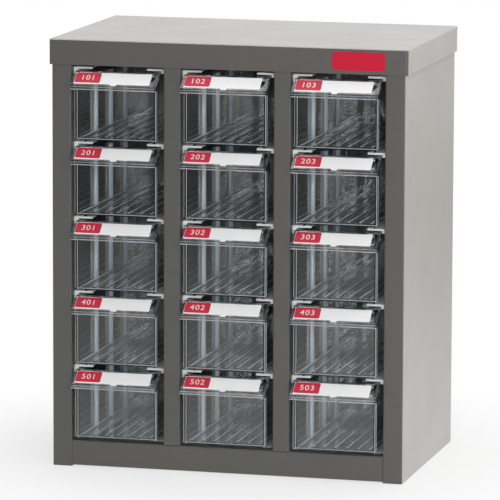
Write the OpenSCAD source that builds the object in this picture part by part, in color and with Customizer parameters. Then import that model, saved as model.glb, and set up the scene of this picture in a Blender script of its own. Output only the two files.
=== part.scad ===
// Parts bin cabinet: a sheet-steel body with columns of clear moulded drawers.
// Every drawer slides on a pair of pressed angle runners, and each has a slanted
// label holder that doubles as the finger pull. Millimetres, +Z up. The origin is
// on the floor under the middle of the whole outline; the front looks along -Y.

/* [Layout] */
// Number of drawer columns
columns = 3; // [1:1:4]
// Number of drawer rows
rows = 5; // [2:1:6]
// Width of one column opening in the front frame
opening_w = 93; // [80:1:120]
// Height from one runner level to the next
row_pitch = 73.6; // [60:0.2:90]

/* [Front frame] */
// Width of the outer uprights
stile_w = 19.5; // [14:0.5:30]
// Width of the uprights between columns
mullion_w = 17; // [12:0.5:26]
// Height of the bottom rail's upper edge above the floor
rail_h = 26; // [22:0.5:40]
// Depth of the folds that stand back from the front face
fold_d = 8; // [6:0.5:8.5]
// How far the bottom rail's face lies behind the uprights
rail_recess = 0.6; // [0:0.1:2]
// Gap under the bottom rail
rail_lift = 1.3; // [0:0.1:1.8]
// Gap between the bottom rail's fold and what stands behind it
rail_gap = 1; // [0.5:0.1:2]

/* [Sheet metal] */
// Thickness of the steel sheet
sheet_t = 1; // [0.8:0.1:1.2]
// Outside radius of the visible folds
fold_r = 1.6; // [1.3:0.1:2.5]
// Depth of the body from the front face to the back
body_d = 222; // [215:1:280]
// Width of the flanges turned in along the floor and the back
flange_w = 12; // [8:1:18]

/* [Cap] */
// Height of the cap's skirt below its top face
cap_drop = 25; // [20:1:40]
// Gap between the cap's side skirts and the body
cap_side_gap = 1.5; // [0.5:0.1:3]
// Gap between the cap's apron and the front frame
cap_front_gap = 0.5; // [0.3:0.1:2]
// Length of the apron's returns round the corners
apron_return = 3.2; // [3:0.1:10]
// Outside radius of the apron's upright edges
apron_r = 2.5; // [1.5:0.1:3]
// Width of the seam between the apron's returns and the skirts
seam_gap = 0.4; // [0.2:0.1:0.8]
// Distance from that seam to the bowed seam of the corner tab, at half height
tab_seam_y = 7; // [6:0.5:14]
// How far the corner tab's seam bows towards the front
tab_seam_bow = 1.2; // [0.5:0.1:2]
// How far the corner tab's seam leans back at its foot, in degrees
tab_seam_lean = 16; // [0:1:18]
// Width of the corner tab's seam
tab_seam_w = 0.8; // [0.4:0.1:1]
// Depth of the corner tab's seam
tab_seam_t = 0.5; // [0.3:0.1:0.6]
// Height the header rail's lower edge stands above the opening
header_lift = 1; // [0.5:0.5:3]

/* [Badge] */
// Width of the badge plate
badge_w = 52; // [30:1:80]
// Height of the badge plate
badge_h = 18; // [10:1:18]
// Thickness of the badge plate
badge_t = 0.8; // [0.4:0.1:1.5]
// Corner radius of the badge plate
badge_r = 3.5; // [1:0.5:5]
// Distance from the badge to the apron's right end
badge_inset = 22; // [12:1:40]

/* [Runners] */
// Distance from the front face to the runners' front ends
runner_setback = 9; // [9:0.5:14]
// Width of a runner's shelf
shelf_w = 19; // [14:0.5:22]
// Height of the fold along a runner's front edge
runner_lip_h = 2; // [1.5:0.1:2.2]
// Height of a runner's web against the wall
web_h = 8; // [6:0.5:12]
// How far the stop tab at a runner's front end hangs below the drawer's rim
tab_grip = 1.4; // [1:0.1:2.5]
// Height of the stop turned up at a runner's back end
rear_stop_h = 3; // [2:0.1:3]
// Height of the lowest shelf above the bottom rail
shelf_lift = 0.4; // [0.2:0.1:1]

/* [Drawer] */
// Length of the drawer behind the front face
tub_d = 208; // [150:1:214]
// How far the front panel stands out of the front face
front_out = 5; // [3:0.5:8]
// Gap between the front panel's edge and the opening
front_gap = 4.5; // [3.5:0.1:6]
// How far the front panel reaches past the tub on each side
front_lip = 2; // [1:0.1:3]
// Thickness of the tub's walls and floor
wall_t = 2; // [1.5:0.1:2.5]
// Thickness of the front panel
front_t = 2.4; // [1.8:0.1:3]
// Radius of the tub's lower outside edges
tub_r = 4; // [3:0.5:6]
// Radius of the front panel's lower corners
front_r = 2.5; // [2:0.5:8]
// Height of the skids that carry the drawer on its shelves
skid_h = 3.4; // [3.2:0.1:5]
// Width of a skid
skid_w = 2.5; // [1.5:0.1:4]
// Gap between the rim and the shelf above
rim_gap = 2; // [1:0.1:2.6]
// Height of the rim round the top of the tub
rim_h = 2; // [1:0.1:3]
// How far the rim stands out of the tub's sides
rim_out = 1.5; // [0.8:0.1:1.8]
// Running clearance between skids and shelves
run_gap = 0.1; // [0.05:0.05:0.3]

/* [Stop ears] */
// Distance from the back of the drawer to the front of its stop ears
ear_back = 38; // [20:1:60]
// Length of a stop ear
ear_len = 5; // [3:0.5:10]
// Height of a stop ear
ear_h = 5; // [4:0.5:8]
// Clearance between a stop ear and the runner's web
ear_gap = 1; // [0.5:0.1:1.5]

/* [Drawer inside] */
// Number of compartments that the divider slots mark out
compartments = 4; // [2:1:6]
// Width of the slot that takes a divider plate
slot_w = 2; // [1.5:0.1:3]
// Width of the ribs beside a slot
slot_rib_w = 2; // [1:0.1:2.5]
// How far those ribs stand out of the wall
slot_rib_t = 3; // [0.6:0.1:3.5]
// How far those ribs end below the rim
slot_drop = 10; // [5:1:20]
// Number of ribs along the floor
floor_ribs = 7; // [4:1:14]
// Width of a floor rib
floor_rib_w = 1.6; // [0.6:0.1:2]
// Height of a floor rib
floor_rib_h = 1.2; // [0.3:0.1:1.5]

/* [Label holder] */
// How far the holder's lip stands out of the front face
lip_out = 15; // [12:0.5:20]
// Height from the rim down to the lip's upper edge
lip_top = 11.8; // [10:0.1:15]
// Height of the lip's front face
lip_h = 4.8; // [4:0.1:8]
// Thickness of the holder's walls
holder_t = 2; // [1.6:0.1:2.4]
// Gap between the holder's end and the opening
holder_gap = 3.8; // [3.6:0.1:5]
// Flat width of the holder's top edge
holder_land = 2; // [1:0.1:3]
// Radius of the holder's upper corners
holder_r = 4; // [2:0.5:6]
// Width of the clear border at the left end of the label
label_left = 2.6; // [2.2:0.1:5]
// Width of the clear border at the right end of the label
label_right = 7; // [6.4:0.1:12]
// Clear border above the label
label_margin = 1.4; // [1:0.1:2]
// Clear border below the label
label_foot = 1.9; // [1.5:0.1:2.5]
// Depth of the pocket that the label lies in
pocket_t = 0.8; // [0.5:0.1:1]
// Thickness of the label card
card_t = 0.4; // [0.2:0.1:0.5]
// Clearance round the label card
card_gap = 0.2; // [0.1:0.1:0.4]
// Radius of the thumb notch under the label
notch_r = 3.3; // [2:0.1:5]
// Width of the hole that the label card is pushed out through
push_hole_w = 4; // [3:0.1:4.6]
// Height of that hole along the slope
push_hole_h = 11; // [6:0.5:12]

/* [Rivets] */
// Radius of a back rivet's head
rivet_head_r = 4; // [3:0.5:5]
// Height of a back rivet's head
rivet_head_h = 1.4; // [1:0.1:2]
// Radius of a back rivet's shank
rivet_r = 2.3; // [1.6:0.1:2.8]
// Clearance round a rivet's shank
rivet_gap = 0.1; // [0.05:0.05:0.2]
// Number of rivets up each side of the back panel
rivet_rows = 4; // [2:1:6]

/* [Hidden] */
$fn = 48;
joint = 0.01; // overlap that fuses the features of one piece
cut = 1; // how far a cutting shape runs past what it cuts

// Front frame
column_pitch = opening_w + mullion_w;
body_w = columns * opening_w + (columns - 1) * mullion_w + 2 * stile_w;
half_w = body_w / 2;
top_room = 2.6; // from the top shelf to the apron's lower edge
opening_top = rail_h + shelf_lift + rows * row_pitch + top_room;
rail_back = rail_recess + 2 * fold_d; // back edge of the bottom rail's fold
total_h = opening_top + cap_drop;
body_top = total_h - sheet_t;
header_z = opening_top + header_lift;
wall_y0 = fold_d + sheet_t;
wall_top = body_top - flange_w;
wall_y1 = body_d - 2 * sheet_t;

// Cap
cap_half = half_w + cap_side_gap + sheet_t;
apron_y = -cap_front_gap - sheet_t;
cap_back = body_d + cap_front_gap + sheet_t;

// Drawer, measured from its shelf
front_w = opening_w - 2 * front_gap;
tub_w = front_w - 2 * front_lip;
rim_z = row_pitch - sheet_t - rim_gap;
web_x = opening_w / 2 - sheet_t;
ear_x = web_x - ear_gap;
tab_x = tub_w / 2 + rim_out + ear_gap / 2;
tab_h = sheet_t + rim_gap + tab_grip;
runner_end = tub_d + 3 * run_gap + sheet_t;
front_y = -front_out;
skid_x = tub_w / 2 - tub_r - skid_w;
cavity_w = tub_w - 2 * wall_t;
cavity_y0 = front_y + front_t;
cavity_d = tub_d - wall_t - cavity_y0;
slot_step = (tub_d - wall_t) / compartments;
floor_z = skid_h + wall_t;

// Label holder, measured from the drawer's rim
holder_w = opening_w - 2 * holder_gap;
land_y = -1; // where the slanted face starts
slant_run = lip_out + land_y;
slant_deg = atan2(lip_top, slant_run);
slant_len = norm([slant_run, lip_top]);
label_w = holder_w - label_left - label_right;
label_x = (label_left - label_right) / 2;
label_h = slant_len - label_margin - label_foot;

// Overall outline, which places the origin
face_y = (lip_out - cap_back) / 2;

function column_x(c) = (c - (columns + 1) / 2) * column_pitch;
function shelf_z(level) = rail_h + shelf_lift + level * row_pitch;
function cell(kind, r, c) = str(kind, "_r", r, "_c", c);

BODY = ["top_cap", "front_apron", "badge", "side_panel_left", "side_panel_right",
    "stile_left", "stile_right", "bottom_rail", "header_rail", "back_panel", "back_rivets",
    "base_pan", "side_liner_left", "side_liner_right"];
MULLIONS = [for (c = [1:1:columns - 1]) str("mullion_", c)];
DIVIDERS = [for (c = [1:1:columns - 1]) str("column_divider_", c)];
RUNNERS = [for (c = [1:columns], side = ["left", "right"]) str("runners_c", c, "_", side)];
DRAWERS = [for (r = [1:rows], c = [1:columns]) cell("drawer", r, c)];
LABELS = [for (r = [1:rows], c = [1:columns]) cell("label", r, c)];

// ---------- shared shapes ----------

// A box from its lowest corner, with its size
module block(at, size) {
    translate(at) cube(size);
}

// A box centred on X
module middle_block(w, y, d, z, h) {
    block([-w / 2, y, z], [w, d, h]);
}

// Lays a flat profile, drawn as X and Z, along +Y
module along_y(y, d) {
    translate([0, y + d, 0]) rotate([90, 0, 0]) linear_extrude(d) children();
}

// Lays a flat profile, drawn as Y and Z, along +X and centred on X
module along_x(w) {
    translate([-w / 2, 0, 0]) rotate([90, 0, 90]) linear_extrude(w) children();
}

// A rectangle with its corner at the origin and one or more corners rounded
module soft_square(size, r, low_left = false, low_right = false, top_left = false, top_right = false) {
    difference() {
        square(size);
        if (low_left) corner_cut([0, 0], r, 0);
        if (low_right) corner_cut([size.x, 0], r, 90);
        if (top_right) corner_cut(size, r, 180);
        if (top_left) corner_cut([0, size.y], r, 270);
    }
}

// What a rounded corner takes away
module corner_cut(at, r, turn) {
    translate(at) rotate(turn) difference() {
        translate([-cut, -cut]) square(r + cut);
        translate([r, r]) circle(r);
    }
}

// Everything is drawn from the front frame's face and then set about the origin
module in_place() {
    translate([0, face_y, 0]) children();
}

module mirrored(side) {
    mirror([side > 0 ? 0 : 1, 0, 0]) children();
}

// ---------- cap ----------

// Plan of a sheet ring with rounded corners, open at the front
module skirt_plan(front) {
    difference() {
        translate([-cap_half, front]) soft_square([2 * cap_half, cap_back - front], fold_r,
            top_left = true, top_right = true);
        translate([-cap_half + sheet_t, front - cut])
            soft_square([2 * (cap_half - sheet_t), cap_back - front - sheet_t + cut],
                fold_r - sheet_t, top_left = true, top_right = true);
    }
}

// The cap's lid: top sheet with skirts on both sides and the back
module top_cap() {
    skirt_y = apron_y + apron_return + seam_gap;
    color("gainsboro") in_place() {
        difference() {
            along_y(apron_y, cap_back - apron_y)
                translate([-cap_half, body_top - fold_r])
                soft_square([2 * cap_half, sheet_t + fold_r], fold_r, top_left = true, top_right = true);
            along_y(apron_y - cut, cap_back - apron_y - sheet_t + cut)
                translate([-cap_half + sheet_t, body_top - fold_r - cut])
                soft_square([2 * (cap_half - sheet_t), fold_r + cut], fold_r - sheet_t,
                    top_left = true, top_right = true);
            // the front corners are left to the apron's returns
            middle_block(2 * cap_half + cut, apron_y - cut, skirt_y - apron_y + cut,
                body_top - fold_r - cut, fold_r + cut);
        }
        difference() {
            translate([0, 0, opening_top]) linear_extrude(body_top - opening_top - fold_r + joint)
                skirt_plan(skirt_y);
            for (side = [-1, 1]) mirrored(side)
                translate([cap_half - tab_seam_t, skirt_y + tab_seam_y, opening_top + cap_drop / 2])
                rotate([0, 90, 0]) linear_extrude(tab_seam_t + cut) seam_line();
        }
    }
}

// Side view of the bowed seam where a skirt is folded round the cap's front corner
module seam_line() {
    bow_r = (pow(cap_drop / 2, 2) + pow(tab_seam_bow, 2)) / (2 * tab_seam_bow);
    rotate(tab_seam_lean) translate([0, bow_r]) difference() {
        circle(bow_r, $fn = 240);
        circle(bow_r - tab_seam_w, $fn = 240);
        translate([-bow_r - cut, -bow_r + 2 * tab_seam_bow]) square(2 * (bow_r + cut));
    }
}

// The dark fascia under the cap's front edge, with its corner returns
module front_apron() {
    color("dimgray") in_place() translate([0, 0, opening_top])
        linear_extrude(body_top - opening_top) difference() {
            translate([-cap_half, apron_y]) soft_square([2 * cap_half, apron_return], apron_r,
                low_left = true, low_right = true);
            translate([-cap_half + sheet_t, apron_y + sheet_t])
                soft_square([2 * (cap_half - sheet_t), apron_return], apron_r - sheet_t,
                    low_left = true, low_right = true);
        }
}

// The bare badge plate, near the apron's right end
module badge() {
    x = cap_half - badge_inset - badge_w;
    z = opening_top + (cap_drop - badge_h) / 2;
    color("crimson") in_place() translate([x, 0, z]) along_y(apron_y - badge_t, badge_t)
        soft_square([badge_w, badge_h], badge_r, true, true, true, true);
}

// ---------- body ----------

// One outer side: web, floor flange and back flange
module side_panel(side) {
    color("silver") in_place() mirrored(side) {
        web_x0 = half_w - sheet_t;
        rear_y = body_d - 2 * sheet_t;
        block([web_x0, sheet_t, 0], [sheet_t, rear_y, body_top]);
        block([half_w - flange_w, sheet_t, 0], [flange_w - joint, rear_y - sheet_t, sheet_t]);
        difference() {
            block([half_w - flange_w, rear_y, 0], [flange_w - joint, sheet_t, body_top]);
            at_rivets() rivet_hole();
        }
    }
}

// Plan of an upright: front web with a fold at one or both sides
module upright_plan(w, fold_left, fold_right) {
    difference() {
        soft_square([w, fold_d + sheet_t], fold_r, low_left = true, low_right = true);
        translate([fold_left ? sheet_t : -cut, sheet_t])
            square([w - (fold_left ? sheet_t : -cut) - (fold_right ? sheet_t : -cut), fold_d + cut]);
    }
}

// Outer upright of the front frame; its outer fold lies inside the side panel
module stile(side) {
    color("dimgray") in_place() mirrored(side) {
        translate([half_w - stile_w, 0, 0]) linear_extrude(body_top - flange_w)
            upright_plan(stile_w, true, false);
        block([half_w - 2 * sheet_t, sheet_t - joint, sheet_t],
            [sheet_t, fold_d + joint, body_top - flange_w - sheet_t]);
    }
}

// Upright between two columns
module mullion(c) {
    x = (column_x(c) + column_x(c + 1)) / 2;
    color("dimgray") in_place() translate([x - mullion_w / 2, 0, rail_h])
        linear_extrude(header_z - rail_h) upright_plan(mullion_w, true, true);
}

// Channel under the columns
module bottom_rail() {
    w = body_w - 2 * stile_w;
    lower_z = 2 * sheet_t;
    color("dimgray") in_place() {
        along_x(w) difference() {
            translate([rail_recess, rail_lift])
                soft_square([2 * fold_d, rail_h - rail_lift], fold_r, top_left = true);
            translate([rail_recess + sheet_t, rail_lift - cut])
                square([2 * fold_d, rail_h - rail_lift - sheet_t + cut]);
        }
        middle_block(w, rail_recess + sheet_t - joint, flange_w, lower_z, sheet_t);
    }
}

// Channel across the top of the openings, behind the apron
module header_rail() {
    w = body_w - 2 * stile_w;
    color("dimgray") in_place() {
        middle_block(w, 0, sheet_t, header_z, body_top - header_z);
        middle_block(w, sheet_t - joint, fold_d + joint, header_z, sheet_t);
        middle_block(w, sheet_t - joint, flange_w, body_top - sheet_t, sheet_t);
    }
}

// Flat sheet that closes the back
module back_panel() {
    color("silver") in_place() difference() {
        middle_block(body_w, body_d - sheet_t, sheet_t, sheet_t, body_top - sheet_t);
        for (side = [-1, 1]) mirrored(side) at_rivets() rivet_hole();
    }
}

// Places up the right edge of the back where rivets sit, with Z out of the back
module at_rivets() {
    first_z = 2 * flange_w;
    step = (opening_top - 2 * first_z) / (rivet_rows - 1);
    for (i = [0:rivet_rows - 1])
        translate([half_w - flange_w / 2, body_d, first_z + i * step]) rotate([-90, 0, 0]) children();
}

module rivet_hole() {
    translate([0, 0, -2 * sheet_t - cut]) cylinder(r = rivet_r + rivet_gap, h = 2 * (sheet_t + cut));
}

// Domed rivets that hold the back panel to the side panels' rear flanges
module back_rivets() {
    color("silver") in_place()
        for (side = [-1, 1]) mirrored(side) at_rivets() rivet();
}

module rivet() {
    dome_r = (pow(rivet_head_r, 2) + pow(rivet_head_h, 2)) / (2 * rivet_head_h);
    intersection() {
        translate([0, 0, rivet_head_h - dome_r]) sphere(dome_r);
        cylinder(r = rivet_head_r + cut, h = rivet_head_h + cut);
    }
    translate([0, 0, -2 * sheet_t]) cylinder(r = rivet_r, h = 2 * sheet_t + joint);
}

// Floor sheet of the body with its back edge turned up
module base_pan() {
    upturn_w = 2 * (half_w - flange_w);
    color("silver") in_place() {
        middle_block(body_w - 2 * sheet_t, wall_y0, wall_y1 - wall_y0, sheet_t, sheet_t);
        middle_block(upturn_w, wall_y1 - joint, sheet_t + joint, sheet_t, sheet_t);
        middle_block(upturn_w, wall_y1, sheet_t, sheet_t, flange_w + sheet_t);
    }
}

// Inner wall beside an outer column: it carries runners and turns out to the side panel
module side_liner(side) {
    wall_x = half_w - stile_w;
    color("silver") in_place() mirrored(side) {
        block([wall_x, wall_y0, 2 * sheet_t], [sheet_t, wall_y1 - wall_y0, wall_top - 2 * sheet_t]);
        block([wall_x + sheet_t - joint, wall_y1 - sheet_t, 2 * sheet_t],
            [stile_w - 2 * sheet_t + joint, sheet_t, wall_top - 2 * sheet_t]);
    }
}

// Folded double wall between two columns, open at the front and notched round the bottom rail
module column_divider(c) {
    x = (column_x(c) + column_x(c + 1)) / 2;
    color("silver") in_place() translate([x, 0, 0]) difference() {
        translate([0, 0, 2 * sheet_t]) linear_extrude(wall_top - 2 * sheet_t) difference() {
            translate([-mullion_w / 2, wall_y0]) square([mullion_w, wall_y1 - wall_y0]);
            translate([-mullion_w / 2 + sheet_t, wall_y0 - cut])
                square([mullion_w - 2 * sheet_t, wall_y1 - wall_y0 - sheet_t + cut]);
        }
        middle_block(mullion_w + cut, 0, rail_back + rail_gap, 0, rail_h);
    }
}

// ---------- runners ----------

// One pressed angle: shelf with a folded front edge, web, front stop tab and rear stop. Its
// shelf's top is at z = 0 and its web lies against a wall at x = opening_w / 2.
module runner(start_y) {
    length = runner_end - start_y;
    edge_x = opening_w / 2;
    block([edge_x - shelf_w, start_y, -sheet_t], [shelf_w, length, sheet_t]);
    block([edge_x - shelf_w, start_y, -runner_lip_h], [shelf_w, sheet_t, runner_lip_h - joint]);
    block([web_x, start_y, -web_h], [sheet_t, length, web_h - joint]);
    block([tab_x, start_y, -tab_h], [edge_x - tab_x - joint, sheet_t, tab_h - joint]);
    block([edge_x - shelf_w, runner_end - sheet_t, -joint], [shelf_w, sheet_t, rear_stop_h + joint]);
}

// All the runners on one wall of a column; the lowest starts behind the bottom rail's fold
module runners(c, side) {
    color("whitesmoke") in_place() translate([column_x(c), 0, 0]) mirrored(side)
        for (level = [0:rows])
            translate([0, 0, shelf_z(level)]) runner(level == 0 ? rail_back + rail_gap : runner_setback);
}

// ---------- drawers ----------

// One drawer moulding, drawn with its shelf's top at z = 0
module drawer() {
    difference() {
        union() {
            tub_shell();
            front_panel();
            label_holder();
        }
        for (side = [-1, 1]) mirrored(side) along_y(-lip_out - cut, lip_out + cut - land_y)
            corner_cut([holder_w / 2, rim_z], holder_r, 180);
        label_pocket();
    }
    for (side = [-1, 1]) mirrored(side) {
        skid();
        side_rim();
        stop_ear();
        divider_slots();
    }
    floor_grid();
}

// Tub with rounded lower edges, open at the top
module tub_shell() {
    h = rim_z - skid_h;
    difference() {
        along_y(front_y + front_t / 2, tub_d - front_y - front_t / 2) translate([-tub_w / 2, skid_h])
            soft_square([tub_w, h], tub_r, low_left = true, low_right = true);
        along_y(cavity_y0, cavity_d) translate([-cavity_w / 2, floor_z])
            soft_square([cavity_w, h], tub_r - wall_t, low_left = true, low_right = true);
        // the walls end behind the slanted face
        in_front_of_slant(tub_w + cut);
    }
}

// Space in front of the holder's slanted face
module in_front_of_slant(w) {
    along_x(w) polygon([
        [land_y, rim_z + cut], [land_y, rim_z],
        [-lip_out, rim_z - lip_top], [-lip_out - cut, rim_z - lip_top], [-lip_out - cut, rim_z + cut]
    ]);
}

// Plate that closes the tub's front and hides its gap to the frame
module front_panel() {
    difference() {
        along_y(front_y, front_t) translate([-front_w / 2, skid_h])
            soft_square([front_w, rim_z - skid_h], front_r, low_left = true, low_right = true);
        in_front_of_slant(front_w + cut);
    }
}

// Profile of the holder's shell: land, slanted face and lip
module holder_profile() {
    polygon([
        [-land_y, rim_z], [land_y, rim_z], [-lip_out, rim_z - lip_top],
        [-lip_out, rim_z - lip_top - lip_h], [holder_t - lip_out, rim_z - lip_top - lip_h],
        [holder_t - lip_out, rim_z - lip_top - holder_t * tan(slant_deg / 2)],
        [-land_y, rim_z - holder_land]
    ]);
}

// Profile of the plates that close the holder's ends
module holder_end_profile() {
    polygon([
        [cavity_y0, rim_z], [land_y, rim_z], [-lip_out, rim_z - lip_top],
        [-lip_out, rim_z - lip_top - lip_h], [cavity_y0, rim_z - lip_top - lip_h]
    ]);
}

// Slanted label holder with its hollow underside, where a finger pulls
module label_holder() {
    along_x(holder_w) holder_profile();
    for (side = [-1, 1])
        translate([side * (holder_w - holder_t) / 2, 0, 0]) along_x(holder_t) holder_end_profile();
}

// The slanted face as a drawing plane: X along the front, Y up the slope from its top edge, Z outwards
module on_slant() {
    translate([0, land_y, rim_z]) rotate([slant_deg, 0, 0]) children();
}

// Outline of label or pocket, grown by a clearance, with the round tab below it
module label_outline(grow, tab_reach) {
    low = -label_margin - label_h;
    translate([label_x - label_w / 2 - grow, low - grow]) square([label_w + 2 * grow, label_h + 2 * grow]);
    intersection() {
        translate([0, low]) circle(notch_r + grow);
        translate([-notch_r - cut, low - tab_reach]) square([2 * (notch_r + cut), tab_reach + cut]);
    }
}

// What the label takes out of the holder: its pocket, the notch in the lip and the push-out hole
module label_pocket() {
    on_slant() {
        translate([0, 0, -pocket_t]) linear_extrude(pocket_t + cut)
            label_outline(card_gap, label_foot + cut);
        translate([label_x + label_w / 2, -label_margin - (label_h + push_hole_h) / 2, -2 * holder_t])
            linear_extrude(3 * holder_t)
            soft_square([push_hole_w, push_hole_h], min(push_hole_w, push_hole_h / 2),
                low_right = true, top_right = true);
    }
}

module label_card() {
    on_slant() translate([0, 0, -pocket_t]) linear_extrude(card_t)
        label_outline(0, label_foot - card_gap);
}

// Runner strip under the floor
module skid() {
    block([skid_x, runner_setback, run_gap], [skid_w, tub_d - runner_setback, skid_h - run_gap + joint]);
}

// Rim along the side of the tub
module side_rim() {
    block([tub_w / 2 - joint, -land_y, rim_z - rim_h], [rim_out + joint, tub_d + land_y, rim_h]);
}

// Ear that meets the runner's front tab when the drawer is right out
module stop_ear() {
    block([tub_w / 2 - joint, tub_d - ear_back, rim_z - ear_h], [ear_x - tub_w / 2 + joint, ear_len, ear_h]);
}

// Pairs of ribs on the side wall that hold divider plates
module divider_slots() {
    z0 = floor_z - joint;
    for (i = [1:compartments - 1], edge = [-slot_w / 2 - slot_rib_w, slot_w / 2])
        block([cavity_w / 2 - slot_rib_t, i * slot_step + edge, z0],
            [slot_rib_t + joint, slot_rib_w, rim_z - slot_drop - z0]);
}

// Ribs along the floor
module floor_grid() {
    span = cavity_w - 2 * tub_r;
    step = span / (floor_ribs - 1);
    for (i = [0:floor_ribs - 1])
        block([-span / 2 + i * step - floor_rib_w / 2, cavity_y0 - joint, floor_z - joint],
            [floor_rib_w, cavity_d + 2 * joint, floor_rib_h + joint]);
}

// Puts a drawer or its label into row r from the top and column c from the left
module at_cell(r, c) {
    in_place() translate([column_x(c), 0, shelf_z(rows - r)]) children();
}

// ---------- nodes ----------

top_cap();
front_apron();
badge();
side_panel(-1);  // side_panel_left
side_panel(1);  // side_panel_right
stile(-1);  // stile_left
stile(1);  // stile_right
bottom_rail();
header_rail();
back_panel();
back_rivets();
base_pan();
side_liner(-1);  // side_liner_left
side_liner(1);  // side_liner_right
for (c = [1:1:columns - 1]) {
    mullion(c);
    column_divider(c);
}
for (c = [1:columns]) {
    runners(c, -1);
    runners(c, 1);
}
for (r = [1:rows], c = [1:columns]) {
    color("lightblue", 0.5) at_cell(r, c) drawer();
    color("white") at_cell(r, c) label_card();
}
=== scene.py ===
# %% [markdown]
# # A parts cabinet with clear drawers
# The object is a small bench cabinet: a sheet-steel body with three columns of clear moulded
# drawers. Every drawer carries a white label card in a slanted holder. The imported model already
# has each piece at its real size and place, so this script only gives the pieces their finish,
# adds what is printed on them, and sets up the stage, the lights and the camera.

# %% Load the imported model
from math import cos, pi, radians, sin

import bmesh
import bpy
from mathutils import Matrix, Vector


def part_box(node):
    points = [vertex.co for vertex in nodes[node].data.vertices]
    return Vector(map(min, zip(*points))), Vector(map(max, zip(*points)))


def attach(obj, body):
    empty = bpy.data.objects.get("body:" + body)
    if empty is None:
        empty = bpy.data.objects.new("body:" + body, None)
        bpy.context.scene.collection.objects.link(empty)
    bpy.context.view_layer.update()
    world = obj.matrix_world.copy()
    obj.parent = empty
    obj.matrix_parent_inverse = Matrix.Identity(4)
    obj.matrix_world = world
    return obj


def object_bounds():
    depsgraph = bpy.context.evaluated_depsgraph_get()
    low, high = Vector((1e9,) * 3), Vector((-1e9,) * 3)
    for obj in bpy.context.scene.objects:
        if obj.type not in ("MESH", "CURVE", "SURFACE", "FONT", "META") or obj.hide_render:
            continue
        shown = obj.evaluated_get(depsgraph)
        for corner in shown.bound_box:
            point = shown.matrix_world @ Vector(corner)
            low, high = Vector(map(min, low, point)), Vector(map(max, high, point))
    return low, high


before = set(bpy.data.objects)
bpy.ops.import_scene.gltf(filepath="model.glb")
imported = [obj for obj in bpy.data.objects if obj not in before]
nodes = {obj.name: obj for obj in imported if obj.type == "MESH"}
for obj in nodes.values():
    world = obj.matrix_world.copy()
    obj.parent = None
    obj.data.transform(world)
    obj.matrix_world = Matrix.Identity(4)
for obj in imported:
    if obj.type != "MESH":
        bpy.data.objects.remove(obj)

MM = 0.001
cad_low, cad_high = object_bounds()
drawer_names = sorted(n for n in nodes if n.startswith("drawer_"))
label_names = sorted(n for n in nodes if n.startswith("label_"))
print("drawers:", len(drawer_names), "other pieces:", len(nodes) - 2 * len(drawer_names))

# %% [markdown]
# ## Small helpers for node trees
# A material is a graph of nodes. It could be drawn by hand in the shader editor, but then nobody
# can read how it was made. Writing each node and link out in full makes long, noisy code, so a
# few helpers do it: one adds a node and fills in its inputs, and others make the steps that come
# back in every material.


# %% Node helpers
def add_node(tree, kind, settings=None, **inputs):
    """Adds a node, sets its own settings and fills its inputs with values or links."""
    made = tree.nodes.new(kind)
    for name, value in (settings or {}).items():
        setattr(made, name, value)
    for name, value in inputs.items():
        fill_input(tree, made, name.replace("_", " "), value)
    return made


def fill_input(tree, node, name, value):
    """Links the named or numbered input when value is a socket, and sets it otherwise."""
    socket = node.inputs[int(name)] if name.isdigit() else node.inputs[name]
    if isinstance(value, bpy.types.NodeSocket):
        tree.links.new(value, socket)
    else:
        socket.default_value = value


def math_node(tree, operation, first, second):
    """One arithmetic step on two values or sockets; it gives back the result's socket."""
    made = tree.nodes.new("ShaderNodeMath")
    made.operation = operation
    fill_input(tree, made, "0", first)
    fill_input(tree, made, "1", second)
    return made.outputs["Value"]


def remap(tree, value, low, high, new_low, new_high):
    """Stretches a value from one range to another and clamps it there."""
    made = add_node(tree, "ShaderNodeMapRange", Value=value, From_Min=low, From_Max=high,
                    To_Min=new_low, To_Max=new_high)
    return made.outputs["Result"]


def blend_colours(tree, share, first, second):
    """Mixes two colours by a mask."""
    made = add_node(tree, "ShaderNodeMix", {"data_type": "RGBA"})
    fill_input(tree, made, "0", share)
    fill_input(tree, made, "6", first)
    fill_input(tree, made, "7", second)
    return made.outputs[2]


def blend_values(tree, share, first, second):
    """Mixes two values by a mask."""
    made = tree.nodes.new("ShaderNodeMix")
    fill_input(tree, made, "0", share)
    fill_input(tree, made, "2", first)
    fill_input(tree, made, "3", second)
    return made.outputs[0]


# %% [markdown]
# ## Patterns that stay with the piece
# The marks on a real surface go with it when it moves. A pattern could follow the world, but
# then it would slide over a drawer that is pulled out. So every pattern here reads the object's
# own coordinates, in metres, and a scale is a number of features per metre.


# %% Pattern helpers
def own_place(tree):
    """Where a point lies in its own object."""
    return tree.nodes.new("ShaderNodeTexCoord").outputs["Object"]


def noise(tree, coordinates, scale, detail=2.0, roughness=0.5):
    """A noise pattern whose scale is in features per metre."""
    made = add_node(tree, "ShaderNodeTexNoise", Vector=coordinates, Scale=scale, Detail=detail,
                    Roughness=roughness)
    return made.outputs["Fac"]


def stretched(tree, coordinates, scale):
    """The coordinates with each axis scaled by itself, for long streaks."""
    made = add_node(tree, "ShaderNodeMapping", Vector=coordinates, Scale=scale)
    return made.outputs["Vector"]


# %% [markdown]
# ## Groups and materials
# Several finishes share a pattern. It could be copied into each, but a node group holds it once,
# with named sockets, and each material places it with its own values. A material starts from
# the Principled shader, which covers paint, metal, plastic and paper alike.


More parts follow.
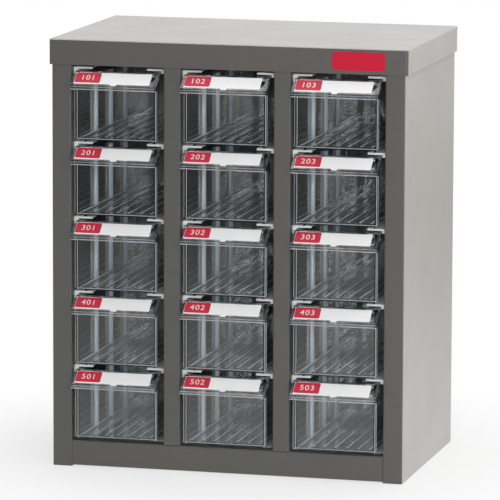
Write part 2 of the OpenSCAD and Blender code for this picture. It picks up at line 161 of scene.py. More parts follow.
# %% Group and material helpers
def new_group(name, inputs, outputs):
    """A node group with float sockets; it gives back the tree, the values that come in, the
    node that takes what goes out, and the object's own coordinates."""
    tree = bpy.data.node_groups.new(name, "ShaderNodeTree")
    for socket_name, value in inputs.items():
        socket = tree.interface.new_socket(socket_name, in_out="INPUT",
                                           socket_type="NodeSocketFloat")
        socket.default_value = value
    for socket_name in outputs:
        tree.interface.new_socket(socket_name, in_out="OUTPUT", socket_type="NodeSocketFloat")
    entry = tree.nodes.new("NodeGroupInput")
    leave = tree.nodes.new("NodeGroupOutput")
    return tree, entry.outputs, leave, own_place(tree)


def use_group(tree, group, **inputs):
    """Places a group in a material with its own values."""
    made = tree.nodes.new("ShaderNodeGroup")
    made.node_tree = group
    for name, value in inputs.items():
        made.inputs[name.replace("_", " ")].default_value = value
    return made.outputs


def new_material(name):
    """A material with its Principled shader; it gives back both and the node tree."""
    made = bpy.data.materials.new(name)
    made.use_nodes = True
    tree = made.node_tree
    return made, tree, tree.nodes["Principled BSDF"]


def set_plain(shader, **values):
    """Sets values that are the same all over the surface on the shader's own sockets."""
    for name, value in values.items():
        shader.inputs[name.replace("_", " ")].default_value = value


def bump_into(tree, shader, height, depth, strength):
    """Feeds a height pattern to the shader through a Bump node; depth is in metres."""
    bump = add_node(tree, "ShaderNodeBump", Height=height, Distance=depth, Strength=strength)
    fill_input(tree, shader, "Normal", bump.outputs["Normal"])


def tint(grey, warmth):
    """A grey colour with a little red added and a little blue taken away."""
    return (grey * (1 + warmth), grey, grey * (1 - 2 * warmth), 1.0)


def darkened(colour, share):
    """The same colour with only a share of its light."""
    return tuple(share * part for part in colour[:3]) + (1.0,)


# %% [markdown]
# ## What paint does on sheet steel
# Powder paint is never flat. It melts into a skin with a fine orange peel, its gloss wanders a
# little from place to place, and handling leaves faint long rubs. A scanned picture could show
# that, but it would be too coarse close by. Three noise patterns at three scales give it at any
# distance: peel at about a millimetre, cloud at a few centimetres, and rubs that are long and
# thin. They are one group, because the dark frame and the pale casing share the same paint type.

# %% Shared pattern: powder coat
# Features per metre; those of the rubs lie close along Z only, so a rub is long and thin
CLOUD_SCALE, PATCH_SCALE = 14.0, 9.0
RUB_STRETCH = (30.0, 30.0, 420.0)


def make_powder_coat():
    tree, values, leave, place = new_group(
        "powder_coat", {"Peel Scale": 900.0, "Rub Amount": 0.3}, ["Peel", "Cloud", "Rubs"])
    peel = noise(tree, place, values["Peel Scale"], detail=3.0)
    cloud = noise(tree, place, CLOUD_SCALE, detail=4.0, roughness=0.6)
    streaks = noise(tree, stretched(tree, place, RUB_STRETCH), 1.0, detail=5.0, roughness=0.7)
    patches = noise(tree, place, PATCH_SCALE)
    rubs = math_node(tree, "MULTIPLY", remap(tree, streaks, 0.56, 0.72, 0.0, 1.0),
                     remap(tree, patches, 0.5, 0.68, 0.0, 1.0))
    fill_input(tree, leave, "Peel", peel)
    fill_input(tree, leave, "Cloud", cloud)
    fill_input(tree, leave, "Rubs", math_node(tree, "MULTIPLY", rubs, values["Rub Amount"]))
    return tree


powder_coat = make_powder_coat()
print("powder coat group:", [s.name for s in powder_coat.interface.items_tree])

# %% [markdown]
# ## What hands do to clear plastic and bare metal
# Clear polystyrene shows fine hairlines and a slight haze, and zinc gets the same marks where
# the drawers slide. Real scratches could be modelled as grooves, but they are far too fine to
# see as shapes. So a group puts out a hairline mask and a haze mask. Both are subtle, since the
# cabinet is new, but without them the plastic would look like optical glass.

# %% Shared pattern: hairlines and haze
# The pattern is turned by these angles and drawn out along two of its axes
LINE_TURN = (0.4, 0.5, 0.3)
LINE_STRETCH = (1.0, 0.12, 0.12)


def make_hairlines():
    tree, values, leave, place = new_group(
        "hairlines", {"Line Scale": 260.0, "Haze Scale": 22.0}, ["Lines", "Haze"])
    turned = add_node(tree, "ShaderNodeMapping", Vector=place, Rotation=LINE_TURN,
                      Scale=LINE_STRETCH).outputs["Vector"]
    thin = noise(tree, turned, values["Line Scale"], detail=6.0, roughness=0.75)
    haze = noise(tree, place, values["Haze Scale"], detail=3.0)
    fill_input(tree, leave, "Lines", remap(tree, thin, 0.6, 0.74, 0.0, 1.0))
    fill_input(tree, leave, "Haze", haze)
    return tree


hairlines = make_hairlines()
print("hairline group:", [s.name for s in hairlines.interface.items_tree])

# %% [markdown]
# ## The paints
# The front frame and apron are charcoal, and the casing is a warm pale grey. Both are satin
# powder coats, so they differ only in colour and gloss. The cloud pattern moves the colour by a
# few per cent, and the rubs make the paint a little smoother and lighter where hands pass. The
# sheets inside are charcoal made darker still: that is painted shade for the dark inside of the
# cabinet, so little light comes back through the drawers. The inner face of the back sheet is
# painted dark as well, as painted shade: it could be split in two pieces, but the direction that
# a face looks in is enough to tell its inner side from its outer one.

# %% Paint materials
PAINT_PEEL, PAINT_RUBS = 900.0, 0.35
# The Y part of a face's direction: up to the first it is an inner face, from the second an outer
INNER_LOOK, OUTER_LOOK = -0.9, -0.5


def make_paint(name, colour, rubbed, roughness, peel_depth, inside=None):
    """Powder paint; where inside is given, faces that look to the front (-Y) get that colour as
    painted shade.
    """
    made, tree, shader = new_material(name)
    coat = use_group(tree, powder_coat, Peel_Scale=PAINT_PEEL, Rub_Amount=PAINT_RUBS)
    worn = blend_colours(tree, coat["Rubs"], colour, rubbed)
    clouded = remap(tree, coat["Cloud"], 0.35, 0.65, 0.0, 0.6)
    shade = blend_colours(tree, clouded, worn, darkened(colour, 0.93))
    # Painted shade: the inner faces of the sheet, which look to the front, take the dark colour
    if inside:
        look = tree.nodes.new("ShaderNodeNewGeometry").outputs["Normal"]
        look_y = add_node(tree, "ShaderNodeSeparateXYZ", Vector=look).outputs["Y"]
        inner = remap(tree, look_y, INNER_LOOK, OUTER_LOOK, 1.0, 0.0)
        shade = blend_colours(tree, inner, shade, inside)
    fill_input(tree, shader, "Base Color", shade)
    gloss = remap(tree, coat["Cloud"], 0.3, 0.7, roughness - 0.04, roughness + 0.05)
    polish = math_node(tree, "MULTIPLY", coat["Rubs"], 0.1)
    fill_input(tree, shader, "Roughness", math_node(tree, "SUBTRACT", gloss, polish))
    bump_into(tree, shader, coat["Peel"], peel_depth, 0.5)
    set_plain(shader, Metallic=0.0, IOR=1.5)
    return made


pale, pale_rubbed = tint(0.49, 0.035), tint(0.56, 0.035)
charcoal = make_paint("charcoal_powder_coat", tint(0.097, 0.02), tint(0.15, 0.02), 0.42,
                      0.05 * MM)
# Charcoal made darker still for the sheets inside: painted shade for the dark inside of the cabinet
charcoal_with_painted_shade = make_paint("charcoal_with_painted_shade_coat", tint(0.03, 0.02), tint(0.05, 0.02), 0.5,
                            0.05 * MM)
pale_grey = make_paint("pale_grey_powder_coat", pale, pale_rubbed, 0.38, 0.04 * MM)
# The back sheet's inner face is painted dark: painted shade for the inside of the cabinet
back_sheet_with_painted_shade = make_paint("back_sheet_painted_shade_coat", pale, pale_rubbed, 0.38, 0.04 * MM,
                        inside=tint(0.08, 0.05))
print("paints:", [m.name for m in (charcoal, charcoal_with_painted_shade, pale_grey, back_sheet_with_painted_shade)])

# %% [markdown]
# ## Zinc-plated runners and rivets
# The runners are pressed from plated strip, which is pale and slightly cloudy. Plain metal of
# one roughness would look like chrome. A cell pattern varies the roughness, as the crystals of
# the plating do, and hairlines run over it.

# %% Plated steel material
SPANGLE_SCALE = 160.0


def make_plated_steel(name, colour, metallic, roughness):
    made, tree, shader = new_material(name)
    marks = use_group(tree, hairlines, Line_Scale=400.0, Haze_Scale=60.0)
    cells = add_node(tree, "ShaderNodeTexVoronoi", Vector=own_place(tree), Scale=SPANGLE_SCALE)
    grey = add_node(tree, "ShaderNodeRGBToBW", Color=cells.outputs["Color"]).outputs["Val"]
    rough = remap(tree, grey, 0.0, 1.0, roughness - 0.06, roughness + 0.06)
    scratched = math_node(tree, "MULTIPLY", marks["Lines"], 0.12)
    fill_input(tree, shader, "Roughness", math_node(tree, "ADD", rough, scratched))
    clouded = remap(tree, marks["Haze"], 0.35, 0.7, 0.0, 1.0)
    fill_input(tree, shader, "Base Color",
               blend_colours(tree, clouded, colour, darkened(colour, 0.86)))
    bump_into(tree, shader, marks["Lines"], 0.02 * MM, 0.3)
    set_plain(shader, Metallic=metallic)
    return made


zinc = make_plated_steel("zinc_plate", (0.95, 0.95, 0.94, 1.0), 0.06, 0.36)
rivet_steel = make_plated_steel("rivet_steel", (0.62, 0.62, 0.61, 1.0), 0.9, 0.32)
print("plated steel:", zinc.name, rivet_steel.name)

# %% [markdown]
# ## Clear polystyrene
# The drawers are moulded in clear polystyrene, which bends light a little more than window glass
# does. Light passes through it, so the shader uses plain transmission, and only the roughness
# and a faint bump vary. A renderer treats glass as solid to the lamps, and then the inside of a
# closed drawer would be black. The lamps could be made stronger, but that would burn out the
# cards. So most of a lamp's light is let straight through: the Light Path node picks out the
# rays that ask how much a lamp is hidden.

# %% Clear plastic material
PLASTIC_IOR = 1.57
LET_THROUGH = (0.95, 0.97, 0.98, 1.0)


def make_plastic(name, colour, roughness, transmission, lamp_share):
    made, tree, shader = new_material(name)
    marks = use_group(tree, hairlines, Line_Scale=300.0, Haze_Scale=18.0)
    haze = remap(tree, marks["Haze"], 0.35, 0.75, roughness, roughness + 0.05)
    scratched = math_node(tree, "MULTIPLY", marks["Lines"], 0.05)
    fill_input(tree, shader, "Roughness", math_node(tree, "ADD", haze, scratched))
    bump_into(tree, shader, marks["Haze"], 0.08 * MM, 0.25)
    set_plain(shader, Base_Color=colour, Metallic=0.0, IOR=PLASTIC_IOR,
              Transmission_Weight=transmission)
    asked = tree.nodes.new("ShaderNodeLightPath").outputs["Is Shadow Ray"]
    open_air = add_node(tree, "ShaderNodeBsdfTransparent", Color=LET_THROUGH)
    through = add_node(tree, "ShaderNodeMixShader")
    fill_input(tree, through, "0", math_node(tree, "MULTIPLY", asked, lamp_share))
    fill_input(tree, through, "1", shader.outputs["BSDF"])
    fill_input(tree, through, "2", open_air.outputs["BSDF"])
    fill_input(tree, tree.nodes["Material Output"], "Surface", through.outputs["Shader"])
    return made


clear_plastic = make_plastic("clear_polystyrene", (0.93, 0.95, 0.96, 1.0), 0.02, 1.0, 0.80)
# Pale matt skin for the ribs: the mould's frost, and painted highlight for the light the ribs bend
# out of the room
frost_and_highlight_plastic = make_plastic("frost_and_highlight_polystyrene", (0.86, 0.88, 0.91, 1.0), 0.45, 0.15, 0.6)
# Pale strips that paint the highlights the drawers' thick edges catch
edge_highlight_plastic = make_plastic("painted_edge_highlight_polystyrene", (0.88, 0.90, 0.92, 1.0), 0.3, 0.78, 0.9)
print("plastics:", [m.name for m in (clear_plastic, frost_and_highlight_plastic, edge_highlight_plastic)])

# %% [markdown]
# ## Card, ink and enamel
# The label is a white coated card with a red block printed at its left end, and a plain number
# stands in that block. The badge over the last column is a pressed plate with a red enamel face.
# Paper is matt with a faint fibre, ink sits on it with the same fibre, and enamel is glossy. One
# function makes card and both inks, since only their colour and gloss differ, and the enamel
# takes its cloud and peel from the paint's group.

# %% Card, ink and enamel materials
FIBRE_SCALE = 1500.0


def make_paper(name, colour, roughness):
    made, tree, shader = new_material(name)
    fibre = noise(tree, own_place(tree), FIBRE_SCALE, detail=4.0, roughness=0.7)
    threads = remap(tree, fibre, 0.4, 0.7, 0.0, 1.0)
    fill_input(tree, shader, "Base Color",
               blend_colours(tree, threads, colour, darkened(colour, 0.95)))
    fill_input(tree, shader, "Roughness",
               remap(tree, fibre, 0.3, 0.7, roughness - 0.05, roughness + 0.05))
    bump_into(tree, shader, fibre, 0.01 * MM, 0.4)
    return made


def make_enamel():
    made, tree, shader = new_material("red_enamel")
    coat = use_group(tree, powder_coat, Peel_Scale=500.0, Rub_Amount=0.2)
    red, deep = (0.62, 0.010, 0.040, 1.0), (0.52, 0.008, 0.032, 1.0)
    fill_input(tree, shader, "Base Color", blend_colours(tree, coat["Cloud"], red, deep))
    fill_input(tree, shader, "Roughness", remap(tree, coat["Cloud"], 0.3, 0.7, 0.16, 0.26))
    bump_into(tree, shader, coat["Peel"], 0.02 * MM, 0.3)
    set_plain(shader, IOR=1.5)
    return made


card = make_paper("label_card_stock", (0.93, 0.93, 0.93, 1.0), 0.55)
red_ink = make_paper("red_print", (0.60, 0.012, 0.045, 1.0), 0.45)
white_ink = make_paper("white_print", (0.90, 0.89, 0.88, 1.0), 0.5)
red_enamel = make_enamel()
print("card and colours:", [m.name for m in (card, red_ink, white_ink, red_enamel)])

# %% [markdown]
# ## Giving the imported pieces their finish
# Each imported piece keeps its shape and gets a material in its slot. The sheets and mouldings have
# knife-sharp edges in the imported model, which real ones never have. The meshes could be rounded
# by hand, but modifiers do it without touching them: Weld joins the split corners, Decimate
# clears the flat triangles, Bevel rounds the edges, and Weighted Normal keeps the flats flat.

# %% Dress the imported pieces
FINISHES = {
    "top_cap": pale_grey,
    "side_panel": pale_grey,
    "back_panel": back_sheet_with_painted_shade,
    "base_pan": pale_grey,
    "front_apron": charcoal,
    "stile": charcoal,
    "mullion": charcoal,
    "bottom_rail": charcoal,
    # The inner sheets take the charcoal with painted shade
    "header_rail": charcoal_with_painted_shade,
    "side_liner": charcoal_with_painted_shade,
    "column_divider": charcoal_with_painted_shade,
    "runners": zinc,
    "back_rivets": rivet_steel,
    "badge": red_enamel,
    "drawer": clear_plastic,
    "label": card,
}
# How wide the rounding of an edge is: on mouldings and small pieces, and on sheets
SOFT_EDGES = {"drawer": 0.35 * MM, "badge": 0.3 * MM, "label": 0.04 * MM, "back_rivets": 0.05 * MM}
SHEET_EDGE = 0.18 * MM
SOFTEN_ANGLE = radians(32)
# Corners closer than this are one corner, and faces that lean less than this are one face
SAME_POINT, SAME_PLANE = 0.002 * MM, radians(0.4)


def first_match(table, name, default=None):
    """The table's entry whose key the name starts with."""
    return next((v for k, v in table.items() if name.startswith(k)), default)


def soften_edges(piece, width):
    weld = piece.modifiers.new("join_corners", "WELD")
    weld.merge_threshold = SAME_POINT
    clear = piece.modifiers.new("clear_flats", "DECIMATE")
    clear.decimate_type = "DISSOLVE"
    clear.angle_limit = SAME_PLANE
    bevel = piece.modifiers.new("round_edges", "BEVEL")
    bevel.width = width
    bevel.segments = 2
    bevel.limit_method = "ANGLE"
    bevel.angle_limit = SOFTEN_ANGLE
    bevel.use_clamp_overlap = True
    shade = piece.modifiers.new("flat_faces", "WEIGHTED_NORMAL")
    shade.keep_sharp = True


def dress(piece, material, width):
    piece.data.materials.clear()
    piece.data.materials.append(material)
    piece.data.shade_smooth()
    soften_edges(piece, width)


for name, piece in nodes.items():
    dress(piece, first_match(FINISHES, name), first_match(SOFT_EDGES, name, SHEET_EDGE))
print("dressed:", len(nodes), "pieces")

# %% [markdown]
# ## Frosted ribs and painted edge highlights on the drawers
# A mould is polished only where a part has to be clear. The ribs that hold the divider plates and
# the ribs along the floor keep a matt face, and their pale skin also stands for the light that the
# ribs bend out of the room: partly frost, partly painted highlight. The ends of the thick walls
# catch light as bright lines round the front, and these lines are painted highlights. Those faces
# could get a second material, but the imported mesh stays as it is. So the ribs' faces are copied
# from it, lifted by a hair and closed by Solidify, and the highlight lines are thin strips laid on
# the front in the same way.


# %% Helpers for new pieces
def put_in_scene(name, data):
    """Makes an object from a mesh, a text, a lamp or a camera and links it to the scene."""
    made = bpy.data.objects.new(name, data)
    bpy.context.scene.collection.objects.link(made)
    return made


def show(name, data, material):
    """Puts a new piece in the scene and gives it its material."""
    made = put_in_scene(name, data)
    data.materials.append(material)
    return made


def finished_mesh(name, made):
    """Turns a loose bmesh into a mesh with a name."""
    mesh = bpy.data.meshes.new(name)
    made.to_mesh(mesh)
    made.free()
    return mesh


# %% [markdown]
# ## Finding the ribs
# A rib's faces are known by where they lie and which way they look. Inside the tub, an upright
# face close to a side wall belongs to a wall rib, and a level face above the floor is the crest
# of a floor rib or the top of a wall rib. The crests of a real moulding are rounded, and only
# their middle catches the light, so the copied level faces are made half as wide.

# %% Copy the ribs' faces
# Inside of the tub: half its width, its front from the lip, the back wall, the floor from the foot
CAVITY_HALF, CAVITY_FRONT, BACK_WALL, FLOOR_UP = 38.0 * MM, 12.4 * MM, 2.0 * MM, 5.3 * MM
# How far the wall ribs stop below the rim, and how far they stand out of the wall
RIBS_DOWN, RIB_REACH = 10.0 * MM, 3.0 * MM
CREST_SHARE = 0.5
NEAR = 0.1 * MM
SQUARE_ON = 0.999


def rib_faces(name, on_wall):
    """A drawer's ribs as a loose mesh: the upright faces on the walls, or the level ones."""
    low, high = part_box(name)
    middle_x = (low.x + high.x) / 2
    made = bmesh.new()
    made.from_mesh(nodes[name].data)

    def is_rib(face):
        at = face.calc_center_median()
        aside = abs(at.x - middle_x)
        in_tub = (aside < CAVITY_HALF - NEAR
                  and low.y + CAVITY_FRONT + NEAR < at.y < high.y - BACK_WALL - NEAR
                  and low.z + FLOOR_UP + NEAR < at.z < high.z - RIBS_DOWN + NEAR)
        if not on_wall:
            return in_tub and face.normal.z > SQUARE_ON
        upright = max(abs(face.normal.x), abs(face.normal.y)) > SQUARE_ON
        return in_tub and upright and aside > CAVITY_HALF - RIB_REACH - NEAR

    bmesh.ops.delete(made, geom=[f for f in made.faces if not is_rib(f)], context="FACES")
    bmesh.ops.remove_doubles(made, verts=made.verts, dist=SAME_POINT)
    bmesh.ops.dissolve_limit(made, angle_limit=SAME_PLANE, verts=made.verts, edges=made.edges)
    return made


def slim_faces(made, share):
    """Narrows each face along X about its own middle line."""
    for face in made.faces:
        across = [v.co.x for v in face.verts]
        middle_x = (min(across) + max(across)) / 2
        for v in face.verts:
            v.co.x = middle_x + (v.co.x - middle_x) * share
    return made


found = {"upright": rib_faces(drawer_names[0], True), "level": rib_faces(drawer_names[0], False)}
print("rib faces on a drawer:", {kind: len(made.faces) for kind, made in found.items()})
for made in found.values():
    made.free()

# %% [markdown]
# ## Laying the skins
# Each drawer gets three skins: the wall ribs, the level crests and the painted edge highlights.
# They could be one mesh, but the lines are clearer than the ribs, and an object has its finish in a
# slot. They ride with their drawer, so they go with it when it slides. The lines' places are
# measured on the drawer: from its middle, its foot, its top and the front of its lip.

# %% Skins and lines on every drawer
SKIN_T = 0.03 * MM
SKIN_OFFSET = 2.0  # Solidify's offset: 1 stands on the face, 2 is half a thickness clear of it
# Widths of the painted highlight lines: walls, floor and rim of the panel, then the two along the
# lip
WALL_LINE, FLOOR_LINE, RIM_LINE = 0.7 * MM, 0.7 * MM, 0.35 * MM
LIP_LINE, LIP_THIN = 0.8 * MM, 0.4 * MM
# The front panel: its face behind the lip's, half its width, and where its round corners end
PANEL_FACE, PANEL_HALF, RIM_FOOT = 10.0 * MM, 41.6 * MM, 5.8 * MM
# Where the lines of the tub's side walls start, from the panel's middle
LEFT_LINE, RIGHT_LINE = -39.2 * MM, 39.6 * MM
# The lip: half its width, its lower edge from the top, and its second line from the first
HOLDER_HALF, LIP_FOOT, LIP_MIDDLE = 42.7 * MM, 16.6 * MM, 2.6 * MM


def add_strip(made, y, low, high):
    """A flat strip facing the front at the depth y, between two (x, z) corners."""
    corners = [(low[0], low[1]), (high[0], low[1]), (high[0], high[1]), (low[0], high[1])]
    made.faces.new([made.verts.new((x, y, z)) for x, z in corners])


def lay_skin(made, kind, cell, material):
    """Makes a drawer's skin from loose faces and lets it ride with that drawer."""
    name = f"{kind}_{cell}"
    skin = show(name, finished_mesh(name, made), material)
    thick = skin.modifiers.new("close_skin", "SOLIDIFY")
    thick.thickness = SKIN_T
    thick.offset = SKIN_OFFSET
    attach(skin, f"bin_{cell}")


def edge_highlight_lines(name):
    """The painted highlight lines round a drawer's front panel and along its lip."""
    low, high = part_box(name)
    x, panel_y, foot_z = (low.x + high.x) / 2, low.y + PANEL_FACE, low.z
    floor_z, lip_z = foot_z + FLOOR_UP, high.z - LIP_FOOT
    made = bmesh.new()
    for line in (LEFT_LINE, RIGHT_LINE):
        add_strip(made, panel_y, (x + line, floor_z), (x + line + WALL_LINE, lip_z))
    add_strip(made, panel_y, (x + LEFT_LINE, floor_z - FLOOR_LINE),
              (x + RIGHT_LINE + WALL_LINE, floor_z))
    for rim in (-PANEL_HALF, PANEL_HALF - RIM_LINE):
        add_strip(made, panel_y, (x + rim, foot_z + RIM_FOOT), (x + rim + RIM_LINE, lip_z))
    for lift, height in ((0.0, LIP_LINE), (LIP_MIDDLE, LIP_THIN)):
        add_strip(made, low.y, (x - HOLDER_HALF, lip_z + lift),
                  (x + HOLDER_HALF, lip_z + lift + height))
    return made


def add_frost_and_highlights(name):
    cell = name.removeprefix("drawer_")
    crests = slim_faces(rib_faces(name, False), CREST_SHARE)
    lay_skin(rib_faces(name, True), "wall_rib_faces", cell, frost_and_highlight_plastic)
    lay_skin(crests, "floor_rib_crests", cell, frost_and_highlight_plastic)
    lay_skin(edge_highlight_lines(name), "edge_highlight_lines", cell, edge_highlight_plastic)


for name in drawer_names:
    add_frost_and_highlights(name)
print("drawers with frosted ribs and pale edges:", len(drawer_names))

# %% [markdown]
# ## The print on the labels
# A printed block is only ink. It could be a picture on the card, but a thin separate skin keeps
# its edge crisp at any distance. The label lies on a slope, so the print is drawn flat and then
# laid on it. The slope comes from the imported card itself: its largest face says which way it
# looks, and its width runs along X.

# %% Where the labels lie
INK_T = 0.03 * MM


def label_plane(name):
    """The card's upper left corner, lifted by the ink's thickness, and the matrix that lays a
    flat drawing on the card."""
    mesh = nodes[name].data
    big = max(mesh.polygons, key=lambda face: face.area)
    outward = big.normal if big.normal.z > 0 else -big.normal
    right = Vector((1, 0, 0))
    up = outward.cross(right)
    heights = [v.co.dot(up) for v in mesh.vertices]
    depths = [v.co.dot(outward) for v in mesh.vertices]
    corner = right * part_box(name)[0].x + up * max(heights) + outward * (max(depths) + INK_T)
    return corner, Matrix((right, up, outward)).transposed().to_4x4()


print("first label's corner in mm:", [round(v / MM, 1) for v in label_plane(label_names[0])[0]])

# %% [markdown]
# ## Red blocks and numbers
# The block is a rounded plate. It is drawn as arcs round four corners, so its size and its corner
# radius stay plain numbers, and the same function draws it for every label. The numbers are text
# objects, which Blender turns into outlines by itself.

# %% Print every label
CARD_H = 15.0 * MM
BLOCK_W, BLOCK_TOP, BLOCK_FOOT, BLOCK_SIDE = 25.4 * MM, 0.3 * MM, 1.5 * MM, 0.3 * MM
BLOCK_H = CARD_H - BLOCK_TOP - BLOCK_FOOT
BLOCK_R = 1.6 * MM
ARC_STEPS = 6
NUMBER_SIZE, NUMBER_SPACING, NUMBER_T = 9.0 * MM, 1.15, 0.01 * MM


def rounded_outline(width, height, radius):
    """Points round a rectangle whose upper left corner is at the origin. Each arc's centre
    comes with the angle at which the arc starts, in half turns."""
    centres = [(width - radius, -radius, 0.0), (radius, -radius, 0.5),
               (radius, radius - height, 1.0), (width - radius, radius - height, 1.5)]
    points = []
    for x, y, start in centres:
        for i in range(ARC_STEPS + 1):
            angle = pi * (start + 0.5 * i / ARC_STEPS)
            points.append((x + radius * cos(angle), y + radius * sin(angle), 0.0))
    return points


def plate_mesh(name, outline, thickness):
    """A flat plate with the given outline, as thick as asked."""
    made = bmesh.new()
    face = made.faces.new([made.verts.new(p) for p in outline])
    raised = bmesh.ops.extrude_face_region(made, geom=[face])
    top = [g for g in raised["geom"] if isinstance(g, bmesh.types.BMVert)]
    bmesh.ops.translate(made, verts=top, vec=(0, 0, -thickness))
    bmesh.ops.recalc_face_normals(made, faces=made.faces)
    return finished_mesh(name, made)


def number_curve(name, words):
    number = bpy.data.curves.new(name, "FONT")
    number.body = words
    number.size = NUMBER_SIZE
    number.space_character = NUMBER_SPACING
    number.extrude = NUMBER_T
    number.align_x, number.align_y = "CENTER", "CENTER"
    return number


def lay_print(piece, label_name, at, cell):
    """Lays a flat drawing on the label at a place measured from the card's upper left corner."""
    corner, lay = label_plane(label_name)
    piece.matrix_world = Matrix.Translation(corner + lay @ Vector(at)) @ lay
    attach(piece, f"bin_{cell}")


def print_label(name):
    cell = name.removeprefix("label_")
    row, column = (part[1:] for part in cell.split("_"))
    block_name, number_name = f"red_block_{cell}", f"number_{cell}"
    outline = rounded_outline(BLOCK_W, BLOCK_H, BLOCK_R)
    block = show(block_name, plate_mesh(block_name, outline, INK_T), red_ink)
    lay_print(block, name, (BLOCK_SIDE, -BLOCK_TOP, 0), cell)
    words = number_curve(number_name, f"{row}0{column}")
    number = show(number_name, words, white_ink)
    lay_print(number, name, (BLOCK_SIDE + BLOCK_W / 2, -BLOCK_TOP - BLOCK_H / 2, INK_T), cell)


for name in label_names:
    print_label(name)
print("printed labels:", len(label_names))

# %% [markdown]
# ## The stage
# The cabinet stands on a white table in a white room. A table that is only lit by the lamps
# never gets quite white. So it also glows for the camera: a little beside the cabinet, where its
# shadow has to stay, and fully further out, where it melts into the room. A mask made from the
# distance to the cabinet does the melting. What the clear plastic mirrors of the table is bright
# close to the cabinet and gets dim towards the photographer's end.

# %% Table
WHITE = (1.0, 1.0, 1.0, 1.0)
TABLE_R, TABLE_SIDES = 3.0, 96
# How much the table glows beside the cabinet, and between which distances it melts to white
GLOW, MELT_START, MELT_END = 0.65, 0.20, 0.42
# Where the mirrored table is bright, how far that reaches, and how dim the far end is
BRIGHT_SPOT, BRIGHT_R, DIM_R = (0.35, -0.2, 0.0), 0.4, 1.9
DIM_END = 0.22


def distance_from(tree, spot):
    """How far a point of the table lies from a spot on it."""
    length = add_node(tree, "ShaderNodeVectorMath", {"operation": "DISTANCE"})
    fill_input(tree, length, "0", own_place(tree))
    fill_input(tree, length, "1", spot)
    return length.outputs["Value"]


def make_table_finish():
    made, tree, shader = new_material("white_table")
    clouds = noise(tree, own_place(tree), 5.0)
    fill_input(tree, shader, "Base Color",
               blend_colours(tree, clouds, (0.90, 0.90, 0.90, 1.0), (0.88, 0.88, 0.88, 1.0)))
    set_plain(shader, Roughness=0.85)
    seen = tree.nodes.new("ShaderNodeLightPath")
    from_middle = distance_from(tree, (0.0, 0.0, 0.0))
    glow = remap(tree, from_middle, MELT_START, MELT_END, GLOW, 1.0)
    mirrored = remap(tree, distance_from(tree, BRIGHT_SPOT), BRIGHT_R, DIM_R, 1.0, DIM_END)
    strength = math_node(tree, "MAXIMUM", mirrored, seen.outputs["Is Camera Ray"])
    white = add_node(tree, "ShaderNodeEmission", Color=WHITE, Strength=strength)
    plain = math_node(tree, "MULTIPLY", glow, seen.outputs["Is Camera Ray"])
    melt = add_node(tree, "ShaderNodeMixShader")
    fill_input(tree, melt, "0", math_node(tree, "MAXIMUM", plain, seen.outputs["Is Glossy Ray"]))
    fill_input(tree, melt, "1", shader.outputs["BSDF"])
    fill_input(tree, melt, "2", white.outputs["Emission"])
    fill_input(tree, tree.nodes["Material Output"], "Surface", melt.outputs["Shader"])
    return made


def make_table():
    disc = bmesh.new()
    bmesh.ops.create_circle(disc, cap_ends=True, radius=TABLE_R, segments=TABLE_SIDES)
    mesh = finished_mesh("table", disc)
    mesh.materials.append(make_table_finish())
    table = put_in_scene("table", mesh)
    return table


table = make_table()
print("table:", round(table.dimensions.x, 1), "m across")

# %% [markdown]
# ## The room
# The world stands for the room. A studio picture could be wrapped round it, but plain numbers say
# more clearly what each ray meets. The camera sees plain white. What clear plastic mirrors
# straight back is the photographer's end of the room, which is dim: without that dim end the
# drawers would look like fog. Everything else gets an even, soft light.

# %% Room
# The even light, and the light of what is seen through the plastic
SOFT_LIGHT, THROUGH_LIGHT = 0.32, 0.5
# The Y part of a ray's direction: the room is dimmest up to the first, bright from the second
DIM_FROM, DIM_TO = -0.9, -0.3


def make_room():
    world = bpy.data.worlds.new("white_room")
    bpy.context.scene.world = world
    world.use_nodes = True
    tree = world.node_tree
    tree.nodes.clear()
    seen = tree.nodes.new("ShaderNodeLightPath")
    towards = tree.nodes.new("ShaderNodeTexCoord").outputs["Generated"]
    depth = add_node(tree, "ShaderNodeSeparateXYZ", Vector=towards).outputs["Y"]
    mirrored = remap(tree, depth, DIM_FROM, DIM_TO, DIM_END, 1.0)
    lit = blend_values(tree, seen.outputs["Is Glossy Ray"], SOFT_LIGHT, mirrored)
    lit = blend_values(tree, seen.outputs["Is Transmission Ray"], lit, THROUGH_LIGHT)
    strength = math_node(tree, "MAXIMUM", lit, seen.outputs["Is Camera Ray"])
    light = add_node(tree, "ShaderNodeBackground", Color=WHITE, Strength=strength)
    out = tree.nodes.new("ShaderNodeOutputWorld")
    fill_input(tree, out, "Surface", light.outputs["Background"])
    return world


print("room:", make_room().name)

# %% [markdown]
# ## The lights
# Product photographers use big soft boxes, which give wide, gentle highlights, where a bare lamp
# would give hard shadows and small glints. One in front and above lights the drawers, one high
# above makes the lid the brightest face, and one on the right keeps the side panel bright.

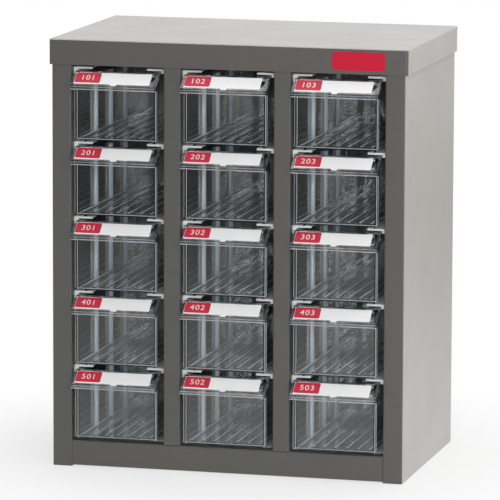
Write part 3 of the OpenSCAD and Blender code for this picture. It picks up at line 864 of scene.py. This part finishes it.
# %% Lamps
# Each lamp's place and size in metres, and its power in watts
SOFT_BOXES = {
    "front_box": ((0.8, -1.9, 0.8), (1.1, 0.9), 20.5),
    "top_box": ((0.3, 0.2, 2.2), (1.8, 1.8), 22.0),
    "side_box": ((2.4, -0.3, 1.0), (1.4, 1.4), 6.5),
}


def soft_box(name, place, aim, size, power):
    lamp = bpy.data.lights.new(name, "AREA")
    lamp.shape = "RECTANGLE"
    lamp.size, lamp.size_y = size
    lamp.energy = power
    made = put_in_scene(name, lamp)
    made.location = place
    made.rotation_euler = (Vector(aim) - Vector(place)).to_track_quat("-Z", "Y").to_euler()


for name, (place, size, power) in SOFT_BOXES.items():
    soft_box(name, place, (cad_low + cad_high) / 2, size, power)
print("lamps:", list(SOFT_BOXES))

# %% [markdown]
# ## The camera
# The viewpoint was worked out from the photograph: where the corners of the frame and the edges
# of the openings fall gives the distance, the height and the angle. It could be set by eye, but
# a fit is steadier. The long lens keeps the uprights almost parallel.

# %% Camera
# The lens's focal length and the picture's width in pixels, and the sensor's width
FOCAL_PX, FRAME_PX, SENSOR_MM = 4600.0, 500.0, 36.0
# From the foot of the front face's middle, in metres
CAMERA_FROM_FACE = Vector((1.134, -4.250, 0.910))
YAW, PITCH, ROLL = radians(14.643), radians(-8.893), radians(-0.205)


def make_camera():
    lens = bpy.data.cameras.new("camera")
    lens.sensor_width = SENSOR_MM
    lens.lens = FOCAL_PX / FRAME_PX * SENSOR_MM
    camera = put_in_scene("camera", lens)
    face_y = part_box("mullion_1")[0].y
    place = Matrix.Translation(CAMERA_FROM_FACE + Vector((0, face_y, 0)))
    turn = Matrix.Rotation(YAW, 4, "Z") @ Matrix.Rotation(PITCH, 4, "X")
    turn = turn @ Matrix.Rotation(ROLL, 4, "Y") @ Matrix.Rotation(radians(90), 4, "X")
    camera.matrix_world = place @ turn
    bpy.context.scene.camera = camera
    return camera


camera = make_camera()
bpy.context.scene.view_settings.view_transform = "Standard"
print("camera at", [round(v, 3) for v in camera.location], "lens", round(camera.data.lens, 1))
